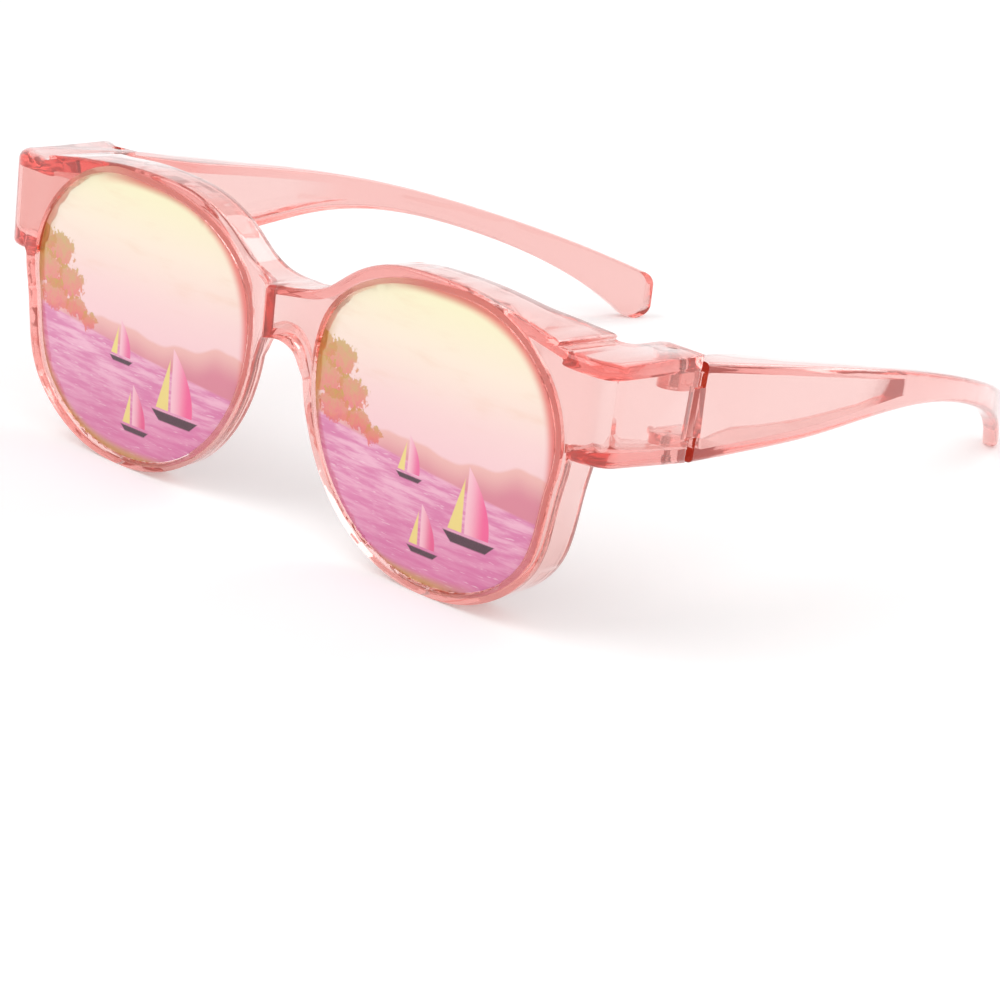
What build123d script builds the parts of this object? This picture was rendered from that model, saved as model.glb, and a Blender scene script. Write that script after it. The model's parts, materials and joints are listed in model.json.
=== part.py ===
from build123d import *
from math import cos, radians, sin, sqrt, tan
import os

# Fitover sunglasses: a moulded front with two mirror lenses and two folding temples on pins.
# +Z is up, the lenses face -Y, and +X is the wearer's left. All lengths are millimetres.

# Lens openings and the rim faces around them
lens_width = 55.0
lens_height = 53.0
nose_gap = 17.0
rim_nasal_face = 2.3
rim_outer_face = 2.8
rim_top_face = 2.2
rim_bottom_face = 1.8

# Lens blank and its groove
lens_thickness = 1.1
lens_base_radius = 265.0
lens_seat = 0.75
groove_depth = 1.0
lens_clearance = 0.06

# Moulded front
plate_thickness = 2.6
wall_thickness = 1.5
brow_flange = 1.8
endpiece_width = 7.7
corner_radius = 5.5
ridge_reach = 5.0
ridge_half_width = 9.0
bridge_top = 17.5
bridge_bottom = 8.3
brow_flange_depth = 7.5
rim_wall_depth = 8.0
nasal_wall_depth = 3.0

# Side arms
side_wall = 2.0
inner_corner_radius = 1.8
arm_top = 23.7
arm_bottom = 5.4
arm_bottom_fall = 8.0
upper_flange = 3.2
lower_flange = 2.4
upper_ear_height = 5.6
lower_ear_height = 4.4

# Hinges
hinge_lean = 5.0
hinge_back = 22.5
hinge_inset = 5.5
knuckle_radius = 3.5
ear_corner_radius = 2.6
ear_setback = 3.0
pin_diameter = 1.5
pin_head_diameter = 2.4
pin_head_height = 0.7
pin_recess = 0.3
pin_tip_gap = 0.3
pin_running_clearance = 0.05
upper_lug = 3.2
lower_lug = 2.2
lug_radius_gap = 0.3
lug_face_gap = 0.1
temple_gap = 0.3

# Temples
temple_reach = 164.5
temple_bend_start = 76.0
temple_bend_radius = 163.0
temple_root_width = 7.4
temple_bar_width = 3.8
temple_top_at_root = 20.6
temple_bottom_at_root = 2.1
temple_tip_top = -19.0
temple_web = 1.9
temple_flange = 2.0
pocket_corner_radius = 0.9
pocket_run_out = 0.4
tip_radius = 3.2
tip_drop = 4.5

# Edge rounding
arm_round = 1.2
temple_round = 1.1
temple_inner_round = 0.5
small_round = 0.35
overrun = 2.0
opening_margin = 0.1

# Shapes as shares of the sizes that they follow
rim_outline_shares = [
    (1.0, 0.026), (0.887, 0.626), (0.411, 0.970), (0.138, 1.0), (-0.113, 0.985), (-0.578, 0.864),
    (-0.942, 0.521), (-1.0, 0.275), (-0.993, 0.026), (-0.855, -0.419), (-0.560, -0.781),
    (-0.113, -0.985), (0.153, -0.9975), (0.425, -0.943), (0.873, -0.566),
]
brow_line_shares = [
    (0.082, 0.634), (0.136, 0.698), (0.189, 0.804), (0.246, 0.895), (0.325, 0.965), (0.442, 0.994),
    (0.596, 0.979), (0.703, 0.940), (0.757, 0.919), (0.811, 0.890), (0.845, 0.864),
]
nose_arch_shares = [(0.39, 0.93), (0.69, 0.71), (0.90, 0.37)]
brow_depth_shares = [(0.31, 1.02), (0.51, 1.17), (0.63, 1.30), (0.72, 1.48), (0.81, 1.90)]
rim_depth_shares = [(0.10, 0.0), (0.30, 0.12), (0.46, 0.50), (0.62, 0.92), (0.80, 1.0)]
temple_top_shares = [
    (0.0, 1.0), (0.138, 0.906), (0.283, 0.802), (0.428, 0.695), (0.566, 0.575), (0.710, 0.418),
    (0.855, 0.230), (1.0, 0.0),
]
temple_bottom_shares = [
    (0.0, 1.0), (0.138, 0.963), (0.283, 0.940), (0.428, 0.948), (0.566, 0.886), (0.710, 0.718),
    (0.855, 0.460), (1.0, 0.0),
]
temple_width_shares = [
    (0.0, 0.02), (0.026, 0.18), (0.07, 0.63), (0.13, 1.0), (0.235, 0.61), (0.34, 0.22), (0.45, 0.02),
    (0.60, 0.0), (0.80, 0.0), (1.0, 0.0),
]
pocket_fade_share = 0.36
pocket_end_share = 0.495
nasal_share = (-0.993, 0.026)

# Places that follow from the sizes
lens_x = nose_gap / 2 + lens_width / 2
rim_width = lens_width + rim_nasal_face + rim_outer_face
rim_height = lens_height + rim_top_face + rim_bottom_face
rim_x = lens_x + (rim_outer_face - rim_nasal_face) / 2
lens_rise = (rim_bottom_face - rim_top_face) / 2
rim_inner_x = nose_gap / 2 - rim_nasal_face
rim_outer_x = rim_x + rim_width / 2
half_width = rim_outer_x + endpiece_width
eye_level = rim_height / 2
overall_depth = ridge_reach + temple_reach
front_y = ridge_reach - overall_depth / 2
hinge_x = half_width - hinge_inset
hinge_slope = tan(radians(hinge_lean))
bottom_slope = tan(radians(arm_bottom_fall))
upper_face_z = arm_top - hinge_slope * hinge_back - upper_flange
lower_face_z = arm_bottom - bottom_slope * hinge_back + lower_flange
hinge_mid_z = (upper_face_z + lower_face_z) / 2
hinge_half_span = (upper_face_z - lower_face_z) / 2 * cos(radians(hinge_lean))
pocket_start = hinge_back + knuckle_radius + temple_gap + temple_web
pocket_fade = min(hinge_back + pocket_fade_share * (temple_reach - hinge_back), temple_bend_start)
pocket_end = hinge_back + pocket_end_share * (temple_reach - hinge_back)
lower_lug_bottom = knuckle_radius * (bottom_slope - hinge_slope) - hinge_half_span + lug_face_gap
upper_ear_bottom = hinge_half_span - upper_ear_height + upper_flange
lower_ear_top = lower_ear_height - lower_flange - hinge_half_span
wall_end = knuckle_radius - ear_setback
upper_head_seat = hinge_half_span + upper_flange - pin_recess - pin_head_height
lower_head_seat = pin_recess + pin_head_height - lower_flange - hinge_half_span
arm_reach = hinge_back + knuckle_radius
arm_inner_x = hinge_x - knuckle_radius
lens_sagitta_radius = sqrt(lens_base_radius**2 - (lens_width / 2) ** 2)

# Planes: heights are measured from the lens centre line, depths from the front face of the rims
front_plane = Plane(origin=(0, front_y, eye_level), x_dir=(1, 0, 0), z_dir=(0, -1, 0))
plan_plane = Plane(origin=(0, front_y, eye_level))
side_plane = Plane(origin=(0, front_y, eye_level), x_dir=(0, 1, 0), z_dir=(1, 0, 0))
arm_slope_plane = Plane(
    origin=(0, front_y, eye_level),
    x_dir=(1, 0, 0),
    z_dir=(0, -cos(radians(hinge_lean)), sin(radians(hinge_lean))),
)
hinge_plane = Plane(
    origin=(hinge_x, front_y + hinge_back, eye_level + hinge_mid_z),
    x_dir=(1, 0, 0),
    z_dir=(0, sin(radians(hinge_lean)), cos(radians(hinge_lean))),
)
lens_curve_centre = (lens_x, front_y + lens_seat + lens_sagitta_radius, eye_level + lens_rise)


def loop_points(centre_x, centre_z, width, height):
    """Points of the lens-shaped loop, at any size."""
    return [(centre_x + across * width / 2, centre_z + up * height / 2) for across, up in rim_outline_shares]


def lens_loop_points(grow):
    """The lens opening, grown all round."""
    return loop_points(lens_x, lens_rise, lens_width + 2 * grow, lens_height + 2 * grow)


def arm_top_at(depth):
    return arm_top - hinge_slope * depth


def arm_bottom_at(depth):
    return arm_bottom - bottom_slope * depth


def temple_outer_at(depth):
    """How far the temple's outer face stands from the middle, at a depth."""
    past = max(depth - temple_bend_start, 0.0)
    return half_width - (temple_bend_radius - sqrt(temple_bend_radius**2 - past**2))


def rim_loop_points(inset):
    """The outside of the rim, drawn in all round."""
    return loop_points(rim_x, 0, rim_width - 2 * inset, rim_height - 2 * inset)


def rim_nasal_point(inset):
    """Where the nose arch starts on that outside."""
    across, up = nasal_share
    return (rim_x + across * (rim_width / 2 - inset), up * (rim_height / 2 - inset))


def brow_points(drop, end_drop):
    """The brow line from the bridge to the arm, lowered by a drop that changes evenly along it."""
    line = [(0, bridge_top)] + [(across * half_width, up * rim_height / 2) for across, up in brow_line_shares]
    line.append((arm_inner_x, arm_top))
    lowered = []
    for across, up in line:
        fall = drop + (end_drop - drop) * across / arm_inner_x
        lowered.append((across, (up - fall) * cos(radians(hinge_lean))))
    return lowered


def arch_points(grow):
    """The nose arch from the bridge outward, raised and widened."""
    line = [(across * (rim_inner_x + grow), up * (bridge_bottom + grow)) for across, up in nose_arch_shares]
    return [(0, bridge_bottom + grow)] + line


def temple_line(shares, root, tip):
    """One edge of the temple in its side view, from the hinge to the tip."""
    run = temple_reach - hinge_back
    return [(hinge_back + along * run, tip + up * (root - tip)) for along, up in shares]


def pocket_line(points, shift):
    """The temple's edge moved inward by its flange, as far as the first point past the channel's end."""
    inside = [point for point in points if point[0] < pocket_end]
    return [(depth, up + shift) for depth, up in points[:len(inside) + 1]]


temple_top_points = temple_line(temple_top_shares, temple_top_at_root, temple_tip_top)
temple_bottom_points = temple_line(temple_bottom_shares, temple_bottom_at_root, -eye_level - tip_drop)
temple_band_points = [
    (temple_outer_at(depth) - wide, depth)
    for depth, wide in temple_line(temple_width_shares, temple_root_width, temple_bar_width)
]


# The lens blank, domed to its base curve
with BuildPart() as left_lens:
    with BuildSketch(front_plane.offset(ridge_reach)):
        with BuildLine():
            Spline(*lens_loop_points(groove_depth - lens_clearance), periodic=True)
        make_face()
    extrude(amount=-(ridge_reach + 2 * plate_thickness))
    with Locations(lens_curve_centre):
        Sphere(lens_base_radius, mode=Mode.INTERSECT)
        Sphere(lens_base_radius - lens_thickness, mode=Mode.SUBTRACT)

# The groove that holds it, larger all round by the clearance
with BuildPart() as lens_groove:
    with BuildSketch(front_plane.offset(ridge_reach)):
        with BuildLine():
            Spline(*lens_loop_points(groove_depth), periodic=True)
        make_face()
    extrude(amount=-(ridge_reach + 2 * plate_thickness))
    with Locations(lens_curve_centre):
        Sphere(lens_base_radius + lens_clearance, mode=Mode.INTERSECT)
        Sphere(lens_base_radius - lens_thickness - lens_clearance, mode=Mode.SUBTRACT)


# The left half of the moulded front, solid at first: plate, brow, bridge and rim
with BuildPart() as front_half:
    with BuildSketch(front_plane.offset(ridge_reach + overrun)):
        with BuildLine():
            Spline(*rim_loop_points(0), periodic=True)
        make_face()
        with Locations((rim_x, rim_nasal_point(0)[1])):
            Rectangle(rim_width, rim_height, align=(Align.MAX, Align.MIN), mode=Mode.SUBTRACT)
        with Locations((rim_x, arm_bottom + overrun)):
            Rectangle(rim_width, rim_height, align=(Align.MIN, Align.MIN), mode=Mode.SUBTRACT)
        with BuildLine():
            Polyline(
                (0, rim_height), (half_width + overrun, rim_height), (half_width + overrun, arm_bottom + overrun),
                (rim_x, arm_bottom + overrun), (rim_x, rim_nasal_point(0)[1]), rim_nasal_point(0),
            )
            arch = Spline(rim_nasal_point(0), *reversed(arch_points(0)), tangents=[(0, 1), (-1, 0)])
            Line(arch @ 1, (0, rim_height))
        make_face()
    extrude(amount=-(ridge_reach + overrun + arm_reach))
    # behind the rims the walls run back only a little at the nose and further at the outside
    with BuildSketch(plan_plane.offset((bridge_top + bridge_bottom) / 2)):
        with BuildLine():
            wall_line = Spline(
                (-overrun, nasal_wall_depth),
                *[(across * rim_outer_x, nasal_wall_depth + (rim_wall_depth - nasal_wall_depth) * back)
                  for across, back in rim_depth_shares],
                (half_width + overrun, rim_wall_depth),
                tangents=[(1, 0), (1, 0)],
            )
            Polyline(wall_line @ 1, (half_width + overrun, temple_reach), (-overrun, temple_reach), wall_line @ 0)
        make_face()
    extrude(amount=-rim_height, mode=Mode.SUBTRACT)
    # the side arm, between its sloped top and bottom
    with BuildSketch(side_plane.offset(arm_inner_x)):
        Polygon(
            (0, arm_bottom_at(0)), (arm_reach + overrun, arm_bottom_at(arm_reach + overrun)),
            (arm_reach + overrun, arm_top_at(arm_reach + overrun)), (0, arm_top_at(0)), align=None,
        )
    extrude(amount=endpiece_width + overrun)
    with BuildSketch(side_plane.offset(rim_outer_x - wall_thickness)):
        Polygon(
            (0, arm_bottom_at(0)), (rim_wall_depth, arm_bottom_at(rim_wall_depth)),
            (rim_wall_depth, arm_top_at(rim_wall_depth)), (0, arm_top_at(0)), align=None,
        )
    extrude(amount=endpiece_width)
    # the plan view bounds it all: ridge, flat front, rounded corner, brow edge
    with BuildSketch(plan_plane.offset(-rim_height)):
        with BuildLine():
            ridge = TangentArc((ridge_half_width, 0), (0, -ridge_reach), tangent=(-1, 0))
            flat = Line((ridge_half_width, 0), (half_width - corner_radius, 0))
            corner = TangentArc(flat @ 1, (half_width, corner_radius), tangent=(1, 0))
            brow_back = Spline(
                (0, brow_flange_depth),
                *[(across * half_width, back * brow_flange_depth) for across, back in brow_depth_shares],
                (arm_inner_x, hinge_back - knuckle_radius),
                tangents=[(1, 0), (0, 1)],
            )
            Polyline(corner @ 1, (half_width, arm_reach), (arm_inner_x, arm_reach), brow_back @ 1)
            Line(brow_back @ 0, ridge @ 1)
        make_face()
    extrude(amount=2 * rim_height, mode=Mode.INTERSECT)
    # the brow line, falling a little toward the back
    with BuildSketch(arm_slope_plane.offset(rim_height)):
        with BuildLine():
            brow = Spline(*brow_points(0, 0), tangents=[(1, 0), (1, 0)])
            Polyline(
                brow @ 1, (half_width + overrun, (brow @ 1).Y), (half_width + overrun, 2 * rim_height),
                (0, 2 * rim_height), brow @ 0,
            )
        make_face()
    extrude(amount=-3 * rim_height, mode=Mode.SUBTRACT)
    arm_bottom_edges = front_half.edges().filter_by(
        lambda edge: edge.bounding_box().max.X > half_width - small_round
        and edge.bounding_box().max.Z < eye_level + arm_bottom
        and edge.bounding_box().size.Y > corner_radius / 2
    )
    fillet(arm_bottom_edges, arm_round)
    arm_root_edges = front_half.edges().filter_by(
        lambda edge: edge.bounding_box().size.Y > plate_thickness
        and edge.bounding_box().min.X > rim_outer_x
        and edge.bounding_box().max.X < half_width - corner_radius
        and eye_level < edge.bounding_box().min.Z
        and edge.bounding_box().max.Z < eye_level + arm_bottom + small_round
    )
    fillet(arm_root_edges, arm_round)

# What is hollow behind the front: everything inside the walls, open to the back
with BuildPart() as front_hollow:
    with BuildSketch(front_plane.offset(ridge_reach)):
        with BuildLine():
            Spline(*rim_loop_points(wall_thickness), periodic=True)
        make_face()
        with Locations((rim_x, arm_bottom + overrun)):
            Rectangle(2 * rim_width, rim_height, align=(Align.CENTER, Align.MIN), mode=Mode.SUBTRACT)
        with BuildLine():
            Polyline(
                (0, rim_height), (arm_inner_x, rim_height), (arm_inner_x, arm_bottom + overrun),
                (rim_x, arm_bottom + overrun), (rim_x, 0), rim_nasal_point(wall_thickness),
            )
            arch_over = Spline(
                rim_nasal_point(wall_thickness), *reversed(arch_points(wall_thickness)), tangents=[(0, 1), (-1, 0)]
            )
            Line(arch_over @ 1, (0, rim_height))
        make_face()
    extrude(amount=-(ridge_reach + arm_reach + overrun))
    with BuildSketch(arm_slope_plane.offset(rim_height)):
        with BuildLine():
            under = Spline(*brow_points(brow_flange, upper_flange), tangents=[(1, 0), (1, 0)])
            Polyline(under @ 1, (half_width, (under @ 1).Y), (half_width, 2 * rim_height), (0, 2 * rim_height), under @ 0)
        make_face()
    extrude(amount=-3 * rim_height, mode=Mode.SUBTRACT)
    with BuildSketch(side_plane.offset(rim_outer_x - 2 * wall_thickness)):
        Polygon(
            (0, arm_bottom_at(0) + lower_flange),
            (arm_reach + overrun, arm_bottom_at(arm_reach + overrun) + lower_flange),
            (arm_reach + overrun, arm_top_at(arm_reach + overrun) - upper_flange),
            (0, arm_top_at(0) - upper_flange), align=None,
        )
    extrude(amount=endpiece_width + 2 * wall_thickness - side_wall)
    with BuildSketch(plan_plane.offset(-rim_height)):
        with BuildLine():
            ridge = TangentArc((ridge_half_width, plate_thickness), (0, plate_thickness - ridge_reach),
                tangent=(-1, 0))
            inner_corner = (half_width - side_wall, plate_thickness + inner_corner_radius)
            flat = Line((ridge_half_width, plate_thickness), (inner_corner[0] - inner_corner_radius, plate_thickness))
            corner = TangentArc(flat @ 1, inner_corner, tangent=(1, 0))
            Polyline(corner @ 1, (half_width - side_wall, arm_reach + overrun), (0, arm_reach + overrun), ridge @ 1)
        make_face()
    extrude(amount=2 * rim_height, mode=Mode.INTERSECT)

# What is trimmed off the arm's end: round ends about the pins, and the wall between the two ears
with BuildPart() as arm_trim:
    with BuildSketch(hinge_plane.offset(-rim_height)):
        Rectangle(2 * endpiece_width, hinge_back, align=(Align.CENTER, Align.MIN))
        with BuildLine():
            ear_corner = (hinge_inset, knuckle_radius - ear_corner_radius)
            Line((-knuckle_radius, -overrun), (-knuckle_radius, 0))
            knuckle = TangentArc((-knuckle_radius, 0), (0, knuckle_radius), tangent=(0, 1))
            ear_end = Line(knuckle @ 1, (hinge_inset - ear_corner_radius, knuckle_radius))
            TangentArc(ear_end @ 1, ear_corner, tangent=(1, 0))
            Polyline(ear_corner, (2 * hinge_inset, knuckle_radius - ear_corner_radius),
                (2 * hinge_inset, -overrun), (-knuckle_radius, -overrun))
        make_face(mode=Mode.SUBTRACT)
    extrude(amount=2 * rim_height)
    with BuildSketch(hinge_plane.offset(lower_ear_top)):
        with Locations((0, wall_end)):
            Rectangle(2 * endpiece_width, hinge_back, align=(Align.MIN, Align.MIN))
    extrude(amount=upper_ear_bottom - lower_ear_top)

# The screwed-in look of the pins: a head sunk into each flange and a shank through it
with BuildPart() as pin_holes:
    with BuildSketch(hinge_plane.offset(-hinge_half_span - lower_flange - overrun)):
        Circle(pin_diameter / 2)
    extrude(amount=2 * hinge_half_span + lower_flange + upper_flange + 2 * overrun)
    with BuildSketch(hinge_plane.offset(upper_head_seat)):
        Circle(pin_head_diameter / 2)
    extrude(amount=upper_flange)
    with BuildSketch(hinge_plane.offset(lower_head_seat)):
        Circle(pin_head_diameter / 2)
    extrude(amount=-lower_flange)

with BuildPart() as lens_opening:
    with BuildSketch(front_plane.offset(ridge_reach)):
        with BuildLine():
            Spline(*lens_loop_points(0), periodic=True)
        make_face()
    extrude(amount=-(ridge_reach + plate_thickness + opening_margin))

with BuildPart() as front_frame:
    add(front_half.part)
    add(front_hollow.part, mode=Mode.SUBTRACT)
    add(arm_trim.part, mode=Mode.SUBTRACT)
    add(lens_opening.part, mode=Mode.SUBTRACT)
    add(lens_groove.part, mode=Mode.SUBTRACT)
    add(pin_holes.part, mode=Mode.SUBTRACT)
    mirror(about=Plane.YZ)
front_frame.part.label = "front_frame"

# The space inside the temple's channel, between its flanges. Its floor, the web, runs along the outer
# face and then crosses to the inner face, where the channel fades out
with BuildPart() as temple_pocket:
    with BuildSketch(side_plane.offset(half_width + overrun)):
        with BuildLine():
            top = Spline(*pocket_line(temple_top_points, -temple_flange))
            bottom = Spline(*pocket_line(temple_bottom_points, temple_flange))
            Line(top @ 0, bottom @ 0)
            Line(top @ 1, bottom @ 1)
        make_face()
        with Locations((pocket_start, 0)):
            Rectangle(temple_reach, temple_reach, align=(Align.MIN, Align.CENTER), mode=Mode.INTERSECT)
        fillet(vertices().sort_by(Axis.X)[:2], pocket_corner_radius)
    extrude(amount=-half_width)
    with BuildSketch(plan_plane.offset(-rim_height)):
        with BuildLine():
            web = Line((half_width - temple_web, 0), (half_width - temple_web, pocket_fade))
            fade_end = (temple_outer_at(pocket_end) - temple_bar_width - pocket_run_out, pocket_end)
            fade = TangentArc(web @ 1, fade_end, tangent=(0, 1))
            Polyline(fade @ 1, (0, pocket_end), (0, 0), web @ 0)
        make_face()
    extrude(amount=2 * rim_height, mode=Mode.INTERSECT)

# What is cut off the temple's root, so that it clears the arm's round end and its wall
with BuildPart() as temple_trim:
    with BuildSketch(hinge_plane.offset(-rim_height)):
        with Locations((0, knuckle_radius + temple_gap)):
            Rectangle(2 * temple_reach, temple_reach, align=(Align.CENTER, Align.MAX))
    extrude(amount=2 * rim_height)
    with BuildSketch(hinge_plane.offset(lower_ear_top + temple_gap)):
        with Locations((hinge_inset - side_wall + lug_face_gap, wall_end + temple_gap)):
            Rectangle(endpiece_width, temple_reach, align=(Align.MIN, Align.MIN))
    extrude(amount=upper_ear_bottom - lower_ear_top - 2 * temple_gap, mode=Mode.SUBTRACT)

# The left temple: its side view between a falling top line and bottom line, bent inward behind
with BuildPart() as left_temple:
    with BuildSketch(side_plane.offset(half_width + overrun)):
        with BuildLine():
            top = Spline(*temple_top_points)
            bottom = Spline(*temple_bottom_points)
            Line(top @ 0, bottom @ 0)
            Line(top @ 1, bottom @ 1)
        make_face()
        fillet(vertices().sort_by(Axis.X)[-2:], tip_radius)
    extrude(amount=-half_width)
    with BuildSketch(plan_plane.offset(-rim_height)):
        with BuildLine():
            outer = Line((half_width, 0), (half_width, temple_bend_start))
            curve = TangentArc(outer @ 1, (temple_outer_at(temple_reach), temple_reach), tangent=(0, 1))
            band = Spline(*temple_band_points)
            Line(curve @ 1, band @ 1)
            Polyline(band @ 0, ((band @ 0).X, 0), outer @ 0)
        make_face()
    extrude(amount=2 * rim_height, mode=Mode.INTERSECT)
    add(temple_trim.part, mode=Mode.SUBTRACT)
    add(temple_pocket.part, mode=Mode.SUBTRACT)
    # the two lugs around the pins, each run back into the temple's root
    with BuildSketch(hinge_plane.offset(hinge_half_span - lug_face_gap)):
        Circle(knuckle_radius - lug_radius_gap)
        Rectangle(
            2 * (knuckle_radius - lug_radius_gap), knuckle_radius + temple_gap + temple_web,
            align=(Align.CENTER, Align.MIN),
        )
    extrude(amount=-upper_lug)
    with BuildSketch(hinge_plane.offset(lower_lug_bottom)):
        Circle(knuckle_radius - lug_radius_gap)
        Rectangle(
            2 * (knuckle_radius - lug_radius_gap), knuckle_radius + temple_gap + temple_web,
            align=(Align.CENTER, Align.MIN),
        )
    extrude(amount=lower_lug)
    with BuildSketch(hinge_plane.offset(-rim_height)):
        Circle(pin_diameter / 2 + pin_running_clearance)
    extrude(amount=2 * rim_height, mode=Mode.SUBTRACT)
    outer_edges = left_temple.edges().filter_by(
        lambda edge: edge.bounding_box().max.X > half_width - small_round
        and edge.bounding_box().size.Y > (temple_bend_start - arm_reach) / 2
    )
    fillet(outer_edges, temple_round)
    inner_edges = left_temple.edges().filter_by(
        lambda edge: edge.bounding_box().size.Y > temple_reach - temple_bend_start + arm_reach / 2
        and edge.bounding_box().max.X < half_width - temple_round
    )
    fillet(inner_edges, temple_inner_round)
left_temple.part.label = "left_temple"

with BuildPart() as left_upper_hinge_pin:
    with BuildSketch(hinge_plane.offset(hinge_half_span - lug_face_gap - upper_lug + pin_tip_gap)):
        Circle(pin_diameter / 2)
    extrude(amount=upper_head_seat - hinge_half_span + lug_face_gap + upper_lug - pin_tip_gap)
    with BuildSketch(hinge_plane.offset(upper_head_seat)):
        Circle(pin_head_diameter / 2)
    extrude(amount=pin_head_height)
left_upper_hinge_pin.part.label = "left_upper_hinge_pin"

with BuildPart() as left_lower_hinge_pin:
    with BuildSketch(hinge_plane.offset(lower_lug_bottom + lower_lug - pin_tip_gap)):
        Circle(pin_diameter / 2)
    extrude(amount=lower_head_seat - lower_lug_bottom - lower_lug + pin_tip_gap)
    with BuildSketch(hinge_plane.offset(lower_head_seat)):
        Circle(pin_head_diameter / 2)
    extrude(amount=-pin_head_height)
left_lower_hinge_pin.part.label = "left_lower_hinge_pin"

# The other side mirrors this one
with BuildPart() as right_lens:
    add(left_lens.part.mirror(Plane.YZ))
with BuildPart() as right_temple:
    add(left_temple.part.mirror(Plane.YZ))
with BuildPart() as right_upper_hinge_pin:
    add(left_upper_hinge_pin.part.mirror(Plane.YZ))
with BuildPart() as right_lower_hinge_pin:
    add(left_lower_hinge_pin.part.mirror(Plane.YZ))
left_lens.part.label = "left_lens"
right_lens.part.label = "right_lens"
right_temple.part.label = "right_temple"
right_upper_hinge_pin.part.label = "right_upper_hinge_pin"
right_lower_hinge_pin.part.label = "right_lower_hinge_pin"

os.makedirs("parts", exist_ok=True)
export_step(front_frame.part, "parts/front_frame.step")
export_step(left_lens.part, "parts/left_lens.step")
export_step(right_lens.part, "parts/right_lens.step")
export_step(left_temple.part, "parts/left_temple.step")
export_step(right_temple.part, "parts/right_temple.step")
export_step(left_upper_hinge_pin.part, "parts/left_upper_hinge_pin.step")
export_step(left_lower_hinge_pin.part, "parts/left_lower_hinge_pin.step")
export_step(right_upper_hinge_pin.part, "parts/right_upper_hinge_pin.step")
export_step(right_lower_hinge_pin.part, "parts/right_lower_hinge_pin.step")
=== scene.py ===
import json
import math

import bmesh
import bpy
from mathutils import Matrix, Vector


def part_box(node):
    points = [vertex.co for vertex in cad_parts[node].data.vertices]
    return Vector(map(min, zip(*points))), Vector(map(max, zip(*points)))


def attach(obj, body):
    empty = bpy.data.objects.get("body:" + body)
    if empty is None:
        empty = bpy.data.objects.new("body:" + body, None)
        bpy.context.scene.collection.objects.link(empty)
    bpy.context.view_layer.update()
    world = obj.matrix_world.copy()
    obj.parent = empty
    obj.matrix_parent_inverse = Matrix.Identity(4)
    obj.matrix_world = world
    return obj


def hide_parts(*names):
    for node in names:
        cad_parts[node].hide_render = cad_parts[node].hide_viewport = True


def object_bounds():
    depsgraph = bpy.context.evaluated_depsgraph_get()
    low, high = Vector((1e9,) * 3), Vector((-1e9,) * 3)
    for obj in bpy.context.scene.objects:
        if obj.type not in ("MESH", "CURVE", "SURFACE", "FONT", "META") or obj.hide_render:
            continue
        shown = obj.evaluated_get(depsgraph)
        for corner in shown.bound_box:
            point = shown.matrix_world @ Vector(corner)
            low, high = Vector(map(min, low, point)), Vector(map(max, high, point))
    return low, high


bl_info = {
    "name": "Fitover sunglasses",
    "version": (1, 0, 0),
    "blender": (4, 5, 0),
    "location": "View3D > Sidebar > Fitover",
    "description": "Dresses fitover sunglasses: translucent front and temples, mirror lenses, pins, studio",
    "category": "Object",
}

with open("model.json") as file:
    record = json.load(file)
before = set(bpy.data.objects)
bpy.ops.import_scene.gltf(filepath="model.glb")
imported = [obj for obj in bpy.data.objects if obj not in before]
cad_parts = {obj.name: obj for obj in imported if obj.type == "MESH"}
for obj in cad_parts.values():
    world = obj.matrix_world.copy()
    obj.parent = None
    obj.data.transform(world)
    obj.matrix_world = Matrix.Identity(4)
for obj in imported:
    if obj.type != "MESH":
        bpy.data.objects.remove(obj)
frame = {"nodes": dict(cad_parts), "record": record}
CAD_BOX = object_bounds()
BODY_OF = {node: body for body, nodes in frame["record"]["behaviour"]["bodies"].items() for node in nodes}
# The wearer's sides, and the sign of X on each
SIDES = {"left": 1, "right": -1}

# Lens blank: a shell of a sphere, measured on the left lens
LENS_LOW, LENS_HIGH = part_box("left_lens")
LENS_MIDDLE = [(low + high) / 2 for low, high in zip(LENS_LOW, LENS_HIGH)]
LENS_HALF = [(high - low) / 2 for low, high in zip(LENS_LOW, LENS_HIGH)]
LENS_RADIUS = 0.265
LENS_THICKNESS = 0.0011

# Small round mark that the mould leaves on the front face, between each lens and its arm
PLATE_STEP = 0.0007
FRONT_FACE = LENS_LOW[1] - PLATE_STEP
MARK_ASIDE = 0.0035
MARK_DROP = 0.0075
MARK_ACROSS = LENS_HIGH[0] + MARK_ASIDE
MARK_UP = LENS_HIGH[2] - MARK_DROP
MARK_RADIUS = 0.0010
MARK_LINE = 0.00022
MARK_FADE = (0.0004, 0.0002)

# Top edges of the front: where the brow ends and the arm begins, and how round each is
FRONT_START = CAD_BOX[0][1]
BROW_END = 0.056
ARM_START = 0.0655
BROW_SHARE = 0.5
BROW_DEPTH = 0.012
# The brow steps down to the arm here, where there is room for little rounding only
STEP_PLACE = 0.0625
STEP_REACH = 0.0024
STEP_SHARE = 0.12
# The round ends of the arms start so far behind the foremost point, in edges shorter than this
EAR_START = 0.022
EAR_EDGE = 0.003
# How far a face's normal points up on top faces and on side faces, and back on back faces
TOP_FACE_UP = 0.75
SIDE_FACE_UP = (-0.3, 0.4)
BACK_FACE_BACK = 0.3
TOP_SEGMENTS = 4

# Sharpness from which an edge is rounded, and the larger one for the front's top, the lenses and the pins
MOULDED_ANGLE = math.radians(38)
SHARP_ANGLE = math.radians(50)
SMOOTH_ANGLE = math.radians(32)
PIN_EDGE = 0.00015
MERGE_REACH = 2e-6
FLAT_ANGLE = math.radians(0.4)

# Noise varies about this value
NOISE_MIDDLE = 0.5
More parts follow.
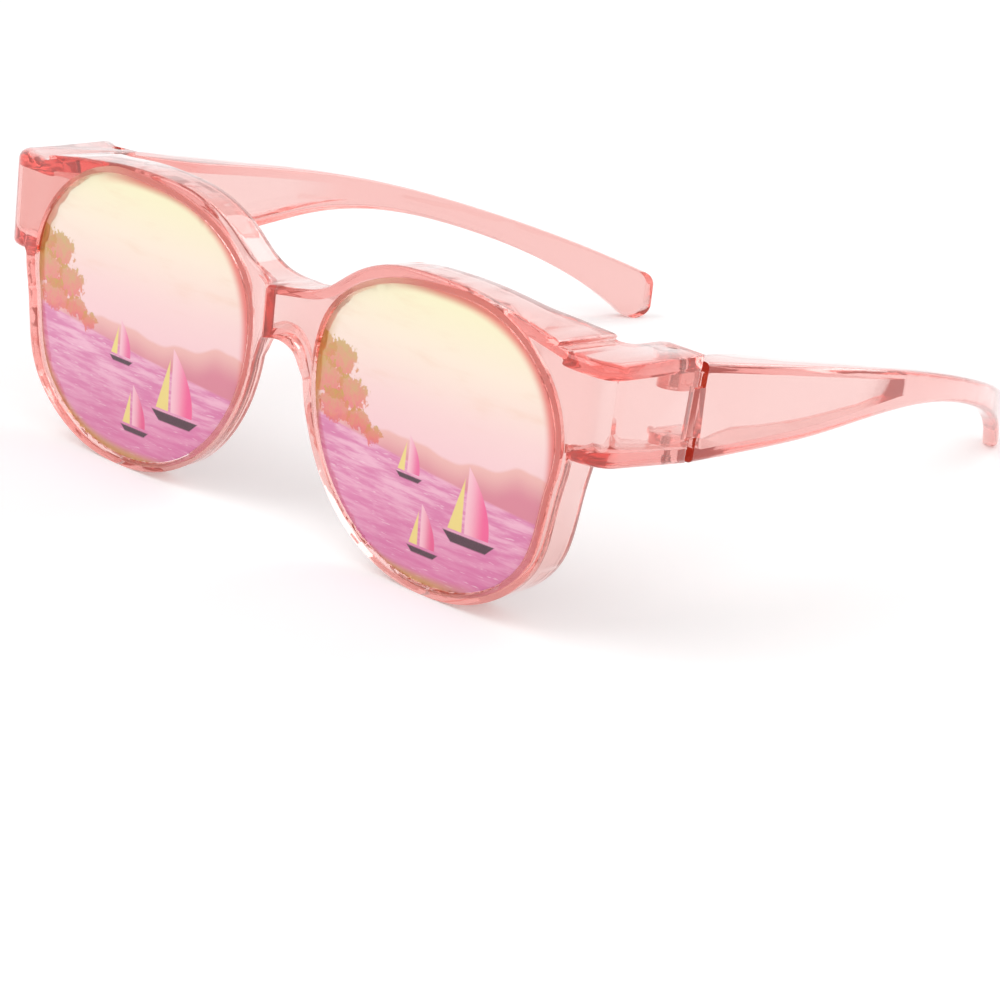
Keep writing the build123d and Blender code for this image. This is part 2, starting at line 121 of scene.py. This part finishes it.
# Patterns in the plastic and the steel: patches per metre and strength
HAZE_FINENESS = 260.0
HAZE_SHARE = 0.04
FLOW_FINENESS = 90.0
FLOW_SHARE = 0.05
RELIEF_SHARE = 0.9
RELIEF_HEIGHT = 0.0003
BRUSH_FINENESS = 900.0
BRUSH_STRETCH = (1, 1, 12)
BRUSH_ROUGHNESS = (0.18, 0.38)
STEEL_FINENESS = 2500.0
STEEL_RELIEF_SHARE = 0.05
STEEL_RELIEF_HEIGHT = 0.00005

# Studio: each lamp's name, power setting, width, place and turn in degrees
LAMPS = (
    ("key", "key", 1.2, (-0.55, -0.9, 1.25), (36, 0, -31)),
    ("fill", "fill", 1.4, (1.1, -0.5, 0.9), (52, 0, 65)),
    ("rim", "fill", 1.0, (0.2, 1.1, 0.9), (-50, 0, 5)),
)
FLOOR_WIDTH = 6.0
CAMERA_PLACE = (0.43572, -0.54641, 0.24032)
CAMERA_TURN = (0.754038, 0.551173, 0.162386, 0.318223)
CAMERA_LENS = 136.26
SENSOR_WIDTH = 36.0
NEAR_CLIP = 0.01
BLACK = (0, 0, 0)
WHITE = (1, 1, 1)


def linear(red, green, blue):
    """A colour as it looks on screen, 0 to 255, in the linear values that shaders take."""
    shares = [level / 255 for level in (red, green, blue)]
    return [s / 12.92 if s <= 0.04045 else ((s + 0.055) / 1.055) ** 2.4 for s in shares]


# The bay painted on the lenses as their reflection: places and sizes in half widths and half heights from the
# middle, grains in patches per half width and per half height, then detail and roughness
SKY_SHIFT = 0.15
SKY_STOPS = [
    (0.0, linear(249, 203, 210)),
    (0.30, linear(251, 214, 212)),
    (0.62, linear(252, 234, 214)),
    (1.0, linear(248, 244, 196)),
]
WISP_GRAIN = (1.6, 7.0)
WISP_BAND = (0.50, 0.80)
WISP = linear(244, 190, 160)
WISP_UP = (0.05, 0.35)
WISP_SHARE = 0.35
CREST_GRAIN = (2.0, 0.0, 1.5, 0.4)
CREST_RELIEF = 0.46
CREST_DROP = 0.26
CREST_EDGE = 0.03
LAND_CREST = linear(240, 182, 172)
LAND_FOOT = linear(214, 112, 136)
LAND_HEIGHT = 0.22
LAND_SHARE = 0.85
SHORE_UP = -0.19
SHORE_FALL = 0.10
SHORE_EDGE = 0.025
SWELL_GRAIN = (3.0, 22.0, 4.0)
SWELL_BAND = (0.36, 0.66)
SWELL_LOW = linear(221, 124, 172)
SWELL_HIGH = linear(243, 182, 206)
NEAR_WATER = linear(214, 104, 160)
NEAR_WATER_UP = (-0.30, -0.85)
GLINT_GRAIN = (9.0, 60.0, 2.0)
GLINT_BAND = (0.60, 0.72)
GLINT = linear(250, 216, 226)
WATER_SHARE = 0.6

# Boats: mast, waterline, height and colour of each, then gaps, soft edges and shares of the height
BOATS = (
    (-0.12, -0.26, 0.26, linear(238, 104, 158)),
    (0.36, -0.52, 0.46, linear(244, 92, 150)),
    (0.02, -0.72, 0.30, linear(232, 84, 140)),
)
SAIL_GAP = 0.012
SAIL_EDGE = 0.010
MAIN_BELLY = 0.5
MAIN_FOOT = 0.42
JIB_TOP = 0.86
JIB_FOOT = 0.30
CLOTH_FADE = 0.35
HULL_DEPTH = 0.17
HULL_HALF = 0.46
HULL_SHIFT = 0.08
HULL_EDGE = 0.012
CLOTH_LIGHT = linear(250, 196, 208)
JIB_CLOTH = linear(240, 218, 130)
HULL_PAINT = linear(70, 26, 48)

# Trees: place across, place up and size of each crown; painted light makes each crown gold above, where it is
# lit, and magenta below, in shade
CROWNS = (
    (-0.93, 0.34, 0.13),
    (-0.76, 0.30, 0.15),
    (-0.88, 0.14, 0.17),
    (-0.64, 0.10, 0.15),
    (-0.78, -0.03, 0.15),
    (-0.55, -0.06, 0.11),
    (-0.42, -0.12, 0.08),
)
CROWN_STOPS = [(0.0, linear(206, 62, 104)), (0.40, linear(232, 104, 92)), (1.0, linear(196, 160, 62))]
LEAF_GRAIN = (34.0, 26.0, 3.0, 0.7)
CLUMP_GRAIN = (12.0, 10.0, 2.0)
CROWN_SQUASH = 1.3
LEAF_REACH = 0.16
CLUMP_REACH = 0.14
CROWN_EDGE = 0.02
CROWN_SHARE = 0.82
# What lightens a crown: a base, its own upper side, its place, its leaves and its clumps
CROWN_BASE_LIGHT = 0.55
CROWN_TOP_LIGHT = 0.30
CROWN_PLACE_LIGHT = 0.5
LEAF_LIGHT = 0.9
CLUMP_LIGHT = 0.6

# Bevel of the lens with its painted coral and gold light, and the smoky tint of its uncoated inner face
BEVEL_ROUNDNESS = 2.4
BEVEL_BAND = (0.885, 0.955)
BEVEL_TURN = (0.75, 0.66)
BEVEL_FADE = (0.15, 0.60)
BEVEL_SHARE = 0.85
BEVEL_CORAL_LIGHT = linear(234, 96, 88)
BEVEL_GOLD_LIGHT = linear(206, 156, 62)
SMOKE = linear(122, 84, 88)
COAT_DEPTH_SHARES = (0.45, 0.55)


class Socket:
    """A shader value that adds Math nodes when it is used in a sum."""

    def __init__(self, nodes, output):
        self.nodes = nodes
        self.output = output

    def _math(self, operation, *values):
        return self.nodes.node("Math", {"operation": operation}, values)

    def __add__(self, other):
        return self._math("ADD", self, other)

    __radd__ = __add__

    def __sub__(self, other):
        return self._math("SUBTRACT", self, other)

    def __rsub__(self, other):
        return self._math("SUBTRACT", other, self)

    def __mul__(self, other):
        return self._math("MULTIPLY", self, other)

    __rmul__ = __mul__

    def __truediv__(self, other):
        return self._math("DIVIDE", self, other)

    def __pow__(self, other):
        return self._math("POWER", self, other)

    def least(self, other):
        return self._math("MINIMUM", self, other)

    def most(self, other):
        return self._math("MAXIMUM", self, other)

    def size(self):
        return self._math("ABSOLUTE", self)

    def rise(self, start, end):
        """0 at start and before it, 1 at end and past it, smooth between."""
        settings = {"interpolation_type": "SMOOTHSTEP"}
        return self.nodes.node("MapRange", settings, {"Value": self, "From Min": start, "From Max": end})


class Nodes:
    """The nodes of one material or of the world."""

    def __init__(self, tree):
        self.tree = tree

    def put(self, target, value):
        """Links a socket to another node's value, or sets it."""
        if isinstance(value, Socket):
            value = value.output
        if isinstance(value, bpy.types.NodeSocket):
            self.tree.links.new(value, target)
        elif target.type == "RGBA":
            target.default_value = (*value[:3], 1.0)
        else:
            target.default_value = value

    def node(self, kind, settings=(), values=(), output=0):
        """Adds a node: its settings first, then what its sockets hold or read."""
        made = self.tree.nodes.new("ShaderNode" + kind)
        for key, value in dict(settings).items():
            if key == "stops":
                ramp = made.color_ramp
                while len(ramp.elements) < len(value):
                    ramp.elements.new(0.5)
                for element, (place, colour) in zip(ramp.elements, value):
                    element.position = place
                    element.color = (*colour[:3], 1.0)
            else:
                setattr(made, key, value)
        pairs = values.items() if isinstance(values, dict) else enumerate(values)
        for key, value in pairs:
            self.put(made.inputs[key], value)
        return Socket(self, made.outputs[output])

    def mix(self, share, below, above):
        """One colour over another by a share from 0 to 1, through a Mix node's colour sockets."""
        return self.node("Mix", {"data_type": "RGBA"}, {0: share, 6: below, 7: above}, output=2)

    def place(self, middle=(0, 0, 0), scale=(1, 1, 1)):
        """Object coordinates about a point, scaled."""
        spot = self.node("TexCoord", output="Object")
        shift = [-m * s for m, s in zip(middle, scale)]
        return self.node("Mapping", {}, {"Vector": spot, "Location": shift, "Scale": scale})

    def split(self, vector):
        """The three parts of a vector."""
        outputs = self.node("SeparateXYZ", {}, [vector]).output.node.outputs
        return [Socket(self, output) for output in outputs]

    def noise(self, vector, scale, detail=2.0, roughness=0.5):
        values = {"Vector": vector, "Scale": scale, "Detail": detail, "Roughness": roughness}
        return self.node("TexNoise", {}, values)

    def seen(self):
        """1 on rays that see, also mirrored and through the plastic, and 0 on rays that only light."""
        camera_ray = self.node("LightPath", output="Is Camera Ray")
        rays = camera_ray.output.node.outputs
        return camera_ray.most(rays["Is Glossy Ray"]).most(rays["Is Transmission Ray"])


class Paint(Nodes):
    """One material: its shader's constants, and the nodes that vary it over the surface."""

    def __init__(self, name, **constants):
        self.material = bpy.data.materials.new(name)
        self.material.use_nodes = True
        super().__init__(self.material.node_tree)
        self.shader = self.tree.nodes["Principled BSDF"]
        self.end = self.tree.nodes["Material Output"]
        self.feed(**constants)

    def feed(self, **values):
        """Sets or links the shader's sockets, named with underscores for their spaces."""
        for socket, value in values.items():
            self.put(self.shader.inputs[socket.replace("_", " ")], value)

    def bump(self, height, strength, distance):
        values = {"Strength": strength, "Distance": distance, "Height": height}
        self.feed(Normal=self.node("Bump", {}, values))

    def absorb(self, colour, density):
        """Tints light by how far it runs through the plastic."""
        inside = self.node("VolumeAbsorption", {}, {"Color": colour, "Density": density})
        self.put(self.end.inputs["Volume"], inside)


def mould_marks(paint, spot):
    """A raised ring on the front face at each side: 1 on its line, 0 elsewhere."""
    across, depth, up = paint.split(spot)
    reach = (across.size() - MARK_ACROSS) ** 2 + (up - MARK_UP) ** 2
    off_line = (reach ** 0.5 - MARK_RADIUS).size()
    behind, before = [FRONT_FACE + fade for fade in MARK_FADE]
    return off_line.rise(MARK_LINE, 0.0) * depth.rise(behind, before)


def tinted_plastic(name, look, with_marks=False):
    """Clear moulded plastic with a blush tint that deepens along its edges, and a painted coral glow that it
    gives off itself.
    """
    paint = Paint(
        name,
        Base_Color=tuple(look.blush),
        IOR=look.bend,
        Transmission_Weight=1.0,
        Coat_Weight=1.0,
        Coat_Roughness=0.04,
        # painted glow: the plastic gives off coral light of its own
        Emission_Color=tuple(look.painted_glow),
        Emission_Strength=look.painted_glow_strength,
    )
    paint.absorb(tuple(look.tint), look.tint_density)
    spot = paint.place()
    haze = paint.noise(spot, HAZE_FINENESS, detail=3.0, roughness=0.6)
    paint.feed(Roughness=haze * HAZE_SHARE + look.polish)
    relief = paint.noise(spot, FLOW_FINENESS, detail=1.0) * FLOW_SHARE
    if with_marks:
        relief = relief + mould_marks(paint, spot)
    paint.bump(relief, RELIEF_SHARE, RELIEF_HEIGHT)
    return paint.material


class LensCoatAndPaintedReflection(Paint):
    """Flash mirror coat of one lens, graded from pale gold to magenta, with a painted reflection of a calm bay;
    the grade is both the coat's own colour and the painted sky.

    The painted reflection is laid on from the far sky to the near shore, then the painted light on the bevel
    and the inner face.
    """

    def __init__(self, name, middle):
        super().__init__(name, Metallic=0.35, Roughness=0.12, Coat_Weight=1.0, Coat_Roughness=0.03)
        self.middle = middle
        spot = self.place(middle, (1 / LENS_HALF[0], 1.0, 1 / LENS_HALF[2]))
        self.across, self.back, self.up = self.split(spot)
        self.view = self.node("ValToRGB", {"stops": SKY_STOPS}, [(self.up + SKY_SHIFT) / (1 + SKY_SHIFT)])
        self.lay_wisps()
        self.lay_headlands()
        self.lay_water()
        for boat in BOATS:
            self.lay_boat(*boat)
        self.lay_trees()
        self.lay_bevel_light()
        self.lay_inner_face()
        self.feed(Base_Color=self.view)

    def grain(self, wide, high, detail=3.0, roughness=0.6):
        """Noise drawn out along the lens, in so many patches per half width and per half height."""
        scale = (wide / LENS_HALF[0], 1.0, high / LENS_HALF[2])
        return self.noise(self.place(self.middle, scale), 1.0, detail, roughness)

    def lay(self, share, colour):
        """Lays a colour over the view so far."""
        self.view = self.mix(share, self.view, colour)

    def lay_wisps(self):
        """Thin cloud in the upper sky."""
        streaks = self.grain(*WISP_GRAIN).rise(*WISP_BAND)
        self.lay(streaks * self.up.rise(*WISP_UP) * WISP_SHARE, WISP)

    def lay_headlands(self):
        """Low headlands in the haze."""
        crest = self.grain(*CREST_GRAIN) * CREST_RELIEF - CREST_DROP
        below = crest - self.up
        land = self.mix(below.rise(0.0, LAND_HEIGHT), LAND_CREST, LAND_FOOT)
        self.lay(below.rise(0.0, CREST_EDGE) * LAND_SHARE, land)

    def lay_water(self):
        """Water below a slanting shore, with glints that run along it."""
        swell = self.grain(*SWELL_GRAIN).rise(*SWELL_BAND)
        water = self.mix(swell, SWELL_LOW, SWELL_HIGH)
        water = self.mix(self.up.rise(*NEAR_WATER_UP) * WATER_SHARE, water, NEAR_WATER)
        glint = self.grain(*GLINT_GRAIN).rise(*GLINT_BAND)
        water = self.mix(glint * WATER_SHARE, water, GLINT)
        shore = SHORE_UP - self.across * SHORE_FALL
        self.lay((shore - self.up).rise(0.0, SHORE_EDGE), water)

    def lay_boat(self, mast, low, tall, colour):
        """A small sailing boat: mainsail behind the mast, jib before it, and the hull."""
        height = (self.up - low) / tall
        aft = self.across - mast
        belly = (1 - height) * (height * MAIN_BELLY + MAIN_FOOT) * tall
        main = height.least(belly - aft).least(aft)
        luff = (JIB_TOP - height) * JIB_FOOT * tall + aft + SAIL_GAP
        jib = height.least(luff).least(aft * -1.0 - SAIL_GAP)
        cloth = self.mix((aft / tall).rise(0.0, CLOTH_FADE), CLOTH_LIGHT, colour)
        self.lay(main.rise(0.0, SAIL_EDGE), cloth)
        self.lay(jib.rise(0.0, SAIL_EDGE), JIB_CLOTH)
        depth = low - SAIL_GAP - self.up
        ends = tall * HULL_HALF - depth - (aft - tall * HULL_SHIFT).size()
        hull = depth.least(HULL_DEPTH * tall - depth).least(ends)
        self.lay(hull.rise(0.0, HULL_EDGE), HULL_PAINT)

    def lay_trees(self):
        """Trees on the near shore, their crowns broken up into clumps and leaves and painted lighter on their
        upper sides.
        """
        leaf = self.grain(*LEAF_GRAIN) - NOISE_MIDDLE
        clump = self.grain(*CLUMP_GRAIN) - NOISE_MIDDLE
        ragged = leaf * LEAF_REACH + clump * CLUMP_REACH
        dapple = leaf * LEAF_LIGHT + clump * CLUMP_LIGHT + self.up * CROWN_PLACE_LIGHT + CROWN_BASE_LIGHT
        for place, height, size in CROWNS:
            rise = self.up - height
            reach = ((self.across - place) ** 2 + (rise * CROWN_SQUASH) ** 2) ** 0.5
            crown = (size - reach + ragged).rise(0.0, CROWN_EDGE)
            light = rise / size * CROWN_TOP_LIGHT + dapple
            self.lay(crown * CROWN_SHARE, self.node("ValToRGB", {"stops": CROWN_STOPS}, [light]))

    def lay_bevel_light(self):
        """Painted light on the bevel: coral on one side and gold on the other."""
        rim = self.across.size() ** BEVEL_ROUNDNESS + self.up.size() ** BEVEL_ROUNDNESS
        band = (rim ** (1 / BEVEL_ROUNDNESS)).rise(*BEVEL_BAND)
        turn = self.across * BEVEL_TURN[0] + self.up * BEVEL_TURN[1]
        for sign, colour in ((1, BEVEL_CORAL_LIGHT), (-1, BEVEL_GOLD_LIGHT)):
            side = turn.rise(*[sign * fade for fade in BEVEL_FADE])
            self.lay(band * side * BEVEL_SHARE, colour)

    def lay_inner_face(self):
        """Only the outer face is coated: behind it the lens shows its smoky tint."""
        bulge = self.back + (self.middle[1] - LENS_LOW[1] - LENS_RADIUS)
        sphere = (self.across * LENS_HALF[0]) ** 2 + bulge ** 2 + (self.up * LENS_HALF[2]) ** 2
        depth = LENS_RADIUS - sphere ** 0.5
        self.lay(depth.rise(*[share * LENS_THICKNESS for share in COAT_DEPTH_SHARES]), SMOKE)


def pin_steel(name):
    """Turned stainless steel, lightly brushed round the head."""
    smoothest, roughest = BRUSH_ROUGHNESS
    paint = Paint(name, Base_Color=linear(196, 190, 188), Metallic=1.0)
    brush = paint.noise(paint.place(scale=BRUSH_STRETCH), BRUSH_FINENESS)
    paint.feed(Roughness=brush * (roughest - smoothest) + smoothest)
    grain = paint.noise(paint.place(), STEEL_FINENESS)
    paint.bump(grain, STEEL_RELIEF_SHARE, STEEL_RELIEF_HEIGHT)
    return paint.material


def nothing_selected():
    if bpy.context.mode != "OBJECT":
        bpy.ops.object.mode_set(mode="OBJECT")
    bpy.ops.object.select_all(action="DESELECT")


def only(piece):
    nothing_selected()
    piece.select_set(True)
    bpy.context.view_layer.objects.active = piece


def merged_copy(node, name):
    """A copy of a CAD node with its loose triangles joined and its flat faces made whole."""
    only(frame["nodes"][node])
    bpy.ops.object.duplicate()
    piece = bpy.context.view_layer.objects.active
    piece.name = name
    piece.data.name = name
    bpy.ops.object.mode_set(mode="EDIT")
    bpy.ops.mesh.select_all(action="SELECT")
    bpy.ops.mesh.remove_doubles(threshold=MERGE_REACH)
    bpy.ops.mesh.dissolve_limited(angle_limit=FLAT_ANGLE)
    bpy.ops.mesh.customdata_custom_splitnormals_clear()
    bpy.ops.object.mode_set(mode="OBJECT")
    return piece


def soften(piece, width, angle=MOULDED_ANGLE, segments=3):
    """Rounds the edges sharper than an angle, as the mould or the wheel leaves them."""
    only(piece)
    rounding = piece.modifiers.new("Rounded edges", "BEVEL")
    rounding.width = width
    rounding.segments = segments
    rounding.limit_method = "ANGLE"
    rounding.angle_limit = angle
    rounding.miter_outer = "MITER_ARC"
    rounding.use_clamp_overlap = True
    bpy.ops.object.modifier_apply(modifier=rounding.name)
    bpy.ops.object.shade_smooth_by_angle(angle=SMOOTH_ANGLE)


def top_edge_share(edge):
    """How much of the top rounding an edge of the front takes: most at the arms, less along the brow."""
    if len(edge.link_faces) != 2 or edge.calc_face_angle(0.0) < SHARP_ANGLE:
        return 0.0
    side, top = sorted((face.normal for face in edge.link_faces), key=lambda normal: normal.z)
    if top.z < TOP_FACE_UP or not SIDE_FACE_UP[0] <= side.z <= SIDE_FACE_UP[1]:
        return 0.0
    middle = (edge.verts[0].co + edge.verts[1].co) / 2
    across = abs(middle.x)
    depth = middle.y - FRONT_START
    if across < ARM_START and (depth > BROW_DEPTH or side.y > BACK_FACE_BACK):
        return 0.0
    if depth > EAR_START and edge.calc_length() < EAR_EDGE:
        return 0.0
    if abs(across - STEP_PLACE) < STEP_REACH:
        return STEP_SHARE
    share = (across - BROW_END) / (ARM_START - BROW_END)
    return BROW_SHARE + (1 - BROW_SHARE) * min(max(share, 0.0), 1.0)


def round_top(piece, width):
    """Rounds the top edges of the front more than the rest."""
    mesh = bmesh.new()
    mesh.from_mesh(piece.data)
    mesh.normal_update()
    weight = mesh.edges.layers.float.new("bevel_weight_edge")
    for edge in mesh.edges:
        edge[weight] = top_edge_share(edge)
    mesh.to_mesh(piece.data)
    mesh.free()
    only(piece)
    rounding = piece.modifiers.new("Rounded top", "BEVEL")
    rounding.width = width
    rounding.segments = TOP_SEGMENTS
    rounding.limit_method = "WEIGHT"
    rounding.use_clamp_overlap = False
    bpy.ops.object.modifier_apply(modifier=rounding.name)


def finish_piece(piece, node, material):
    piece.data.materials.clear()
    piece.data.materials.append(material)
    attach(piece, BODY_OF[node])
    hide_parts(node)


class FrontLook(bpy.types.PropertyGroup):
    blush: bpy.props.FloatVectorProperty(
        name="Blush", description="Colour of a thin wall seen against white", subtype="COLOR",
        default=(0.75, 0.655, 0.64),
    )
    bend: bpy.props.FloatProperty(
        name="Refraction", description="Refractive index of the plastic, under its glossy skin", default=1.38,
        min=1.0,
    )
    # Painted glow: the plastic gives off this coral light itself, all over, standing in for light gathered
    # inside it and lifting its dark thick parts
    painted_glow: bpy.props.FloatVectorProperty(
        name="Glow", description="Light that gathers inside the plastic and leaves at its edges",
        subtype="COLOR", default=(1.0, 0.17, 0.09),
    )
    painted_glow_strength: bpy.props.FloatProperty(
        name="Glow strength", description="Strength of that light", default=0.08, min=0.0
    )
    tint: bpy.props.FloatVectorProperty(
        name="Tint", description="Colour that the plastic lets through", subtype="COLOR",
        default=(0.94, 0.17, 0.12),
    )
    tint_density: bpy.props.FloatProperty(
        name="Tint density", description="How fast the tint deepens, per metre", default=95.0, min=0.0
    )
    polish: bpy.props.FloatProperty(
        name="Roughness", description="Roughness of the moulded surface", default=0.03, min=0.0, max=1.0
    )
    top_round: bpy.props.FloatProperty(
        name="Top rounding", description="Radius of the arms' top edges", subtype="DISTANCE", unit="LENGTH",
        default=0.0018,
    )
    edge: bpy.props.FloatProperty(
        name="Edge rounding", description="Radius of the front's moulded edges", subtype="DISTANCE",
        unit="LENGTH", default=0.0005,
    )


class TempleLook(bpy.types.PropertyGroup):
    edge: bpy.props.FloatProperty(
        name="Edge rounding", description="Radius of the temple's moulded edges", subtype="DISTANCE",
        unit="LENGTH", default=0.0004,
    )


class LensLook(bpy.types.PropertyGroup):
    bevel: bpy.props.FloatProperty(
        name="Lens bevel", description="Width of the bevel round each lens", subtype="DISTANCE", unit="LENGTH",
        default=0.00025,
    )


class StudioLook(bpy.types.PropertyGroup):
    floor_colour: bpy.props.FloatVectorProperty(
        name="Floor", description="Colour of the floor", subtype="COLOR", default=(0.96, 0.96, 0.96)
    )
    floor_glow: bpy.props.FloatProperty(
        name="Floor glow", description="How much whiter the floor is seen than it is lit", default=0.16, min=0.0
    )
    daylight: bpy.props.FloatProperty(
        name="Daylight", description="Strength of the soft surrounding light", default=0.58
    )
    mirrored: bpy.props.FloatProperty(
        name="Studio white", description="Brightness of the studio where it is seen, also in reflections",
        default=1.0, min=0.0,
    )
    key: bpy.props.FloatProperty(name="Key", description="Power of the main lamp", default=8.0, unit="POWER")
    fill: bpy.props.FloatProperty(name="Fill", description="Power of the fill lamp", default=4.5, unit="POWER")


class FITOVER_OT_front(bpy.types.Operator):
    """Makes the moulded front from its CAD shape, with rounded edges"""

    bl_idname = "fitover.front"
    bl_label = "Moulded front"

    def execute(self, context):
        look = context.scene.front_look
        piece = merged_copy("front_frame", "front_shell")
        round_top(piece, look.top_round)
        soften(piece, look.edge)
        plastic = tinted_plastic("blush_front", look, with_marks=True)
        finish_piece(piece, "front_frame", plastic)
        return {"FINISHED"}


class FITOVER_OT_temples(bpy.types.Operator):
    """Makes both temples from their CAD shapes, with rounded edges"""

    bl_idname = "fitover.temples"
    bl_label = "Temples"

    def execute(self, context):
        plastic = tinted_plastic("blush_temple", context.scene.front_look)
        for side in SIDES:
            piece = merged_copy(side + "_temple", side + "_temple_arm")
            soften(piece, context.scene.temple_look.edge)
            finish_piece(piece, side + "_temple", plastic)
        return {"FINISHED"}


class FITOVER_OT_lenses(bpy.types.Operator):
    """Makes both lenses from their domed blanks, coats them and paints a reflection of a bay on them"""

    bl_idname = "fitover.lenses"
    bl_label = "Mirror lenses"

    def execute(self, context):
        for side, sign in SIDES.items():
            piece = merged_copy(side + "_lens", side + "_coated_lens")
            soften(piece, context.scene.lens_look.bevel, SHARP_ANGLE, segments=2)
            middle = (sign * LENS_MIDDLE[0], LENS_MIDDLE[1], LENS_MIDDLE[2])
            coat_and_painted_reflection = LensCoatAndPaintedReflection(side + "_coat", middle)
            finish_piece(piece, side + "_lens", coat_and_painted_reflection.material)
        return {"FINISHED"}


class FITOVER_OT_pins(bpy.types.Operator):
    """Makes the four hinge pins with rounded heads"""

    bl_idname = "fitover.pins"
    bl_label = "Hinge pins"

    def execute(self, context):
        steel = pin_steel("pin_steel")
        for side in SIDES:
            for level in ("upper", "lower"):
                node = side + "_" + level + "_hinge_pin"
                piece = merged_copy(node, side + "_" + level + "_pin")
                soften(piece, PIN_EDGE, SHARP_ANGLE, segments=2)
                finish_piece(piece, node, steel)
        return {"FINISHED"}


class FITOVER_OT_stage(bpy.types.Operator):
    """Sets the floor, the lamps, the surrounding light and the camera"""

    bl_idname = "fitover.stage"
    bl_label = "Studio"

    def execute(self, context):
        look = context.scene.studio_look
        nothing_selected()
        self.lay_floor(context, look)
        self.hang_lamps(context, look)
        self.light_the_room(context, look)
        self.place_camera(context)
        context.scene.view_settings.view_transform = "Standard"
        return {"FINISHED"}

    def lay_floor(self, context, look):
        bpy.ops.mesh.primitive_plane_add(size=FLOOR_WIDTH, location=(0, 0, 0))
        floor = context.object
        floor.name = "floor"
        paper = Paint(
            "floor_paper",
            Base_Color=tuple(look.floor_colour),
            Roughness=0.9,
            Specular_IOR_Level=0.1,
            Emission_Strength=look.floor_glow,
        )
        # the floor's emission whitens it as it is seen and lights nothing
        paper.feed(Emission_Color=paper.mix(paper.seen(), BLACK, WHITE))
        floor.data.materials.append(paper.material)

    def hang_lamps(self, context, look):
        for name, power, width, place, turn in LAMPS:
            bpy.ops.object.light_add(type="AREA", location=place, rotation=[math.radians(t) for t in turn])
            lamp = context.object
            lamp.name = name
            lamp.data.energy = getattr(look, power)
            lamp.data.size = width

    def light_the_room(self, context, look):
        """A white studio where it is seen, brighter than the light that it gives"""
        world = bpy.data.worlds.new("studio")
        context.scene.world = world
        world.use_nodes = True
        air = Nodes(world.node_tree)
        sky = world.node_tree.nodes["Background"]
        air.put(sky.inputs["Color"], WHITE)
        levels = {"Value": air.seen(), "To Min": look.daylight, "To Max": look.mirrored}
        air.put(sky.inputs["Strength"], air.node("MapRange", {}, levels))

    def place_camera(self, context):
        bpy.ops.object.camera_add(location=CAMERA_PLACE)
        camera = context.object
        camera.name = "camera"
        camera.rotation_mode = "QUATERNION"
        camera.rotation_quaternion = CAMERA_TURN
        camera.data.sensor_width = SENSOR_WIDTH
        camera.data.lens = CAMERA_LENS
        camera.data.clip_start = NEAR_CLIP
        context.scene.camera = camera


class FITOVER_PT_panel(bpy.types.Panel):
    """Lists the steps, and the sizes and colours that they use"""

    bl_label = "Fitover sunglasses"
    bl_idname = "FITOVER_PT_panel"
    bl_space_type = "VIEW_3D"
    bl_region_type = "UI"
    bl_category = "Fitover"

    def draw(self, context):
        for step in OPERATORS:
            self.layout.operator(step.bl_idname)
        for group in LOOKS:
            box = self.layout.box()
            box.label(text=group.replace("_", " ").capitalize())
            settings = getattr(context.scene, group)
            for prop in settings.bl_rna.properties:
                if prop.identifier not in ("rna_type", "name"):
                    box.prop(settings, prop.identifier)


LOOKS = {
    "front_look": FrontLook,
    "temple_look": TempleLook,
    "lens_look": LensLook,
    "studio_look": StudioLook,
}
OPERATORS = (FITOVER_OT_stage, FITOVER_OT_front, FITOVER_OT_temples, FITOVER_OT_lenses, FITOVER_OT_pins)
CLASSES = (*LOOKS.values(), *OPERATORS, FITOVER_PT_panel)


def register():
    for kind in CLASSES:
        bpy.utils.register_class(kind)
    for name, kind in LOOKS.items():
        setattr(bpy.types.Scene, name, bpy.props.PointerProperty(type=kind))


def unregister():
    for name in LOOKS:
        delattr(bpy.types.Scene, name)
    for kind in reversed(CLASSES):
        bpy.utils.unregister_class(kind)


def main():
    register()
    bpy.ops.fitover.stage()
    bpy.ops.fitover.front()
    bpy.ops.fitover.temples()
    bpy.ops.fitover.lenses()
    bpy.ops.fitover.pins()
    nothing_selected()
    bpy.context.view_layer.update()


if __name__ == "__main__":
    main()
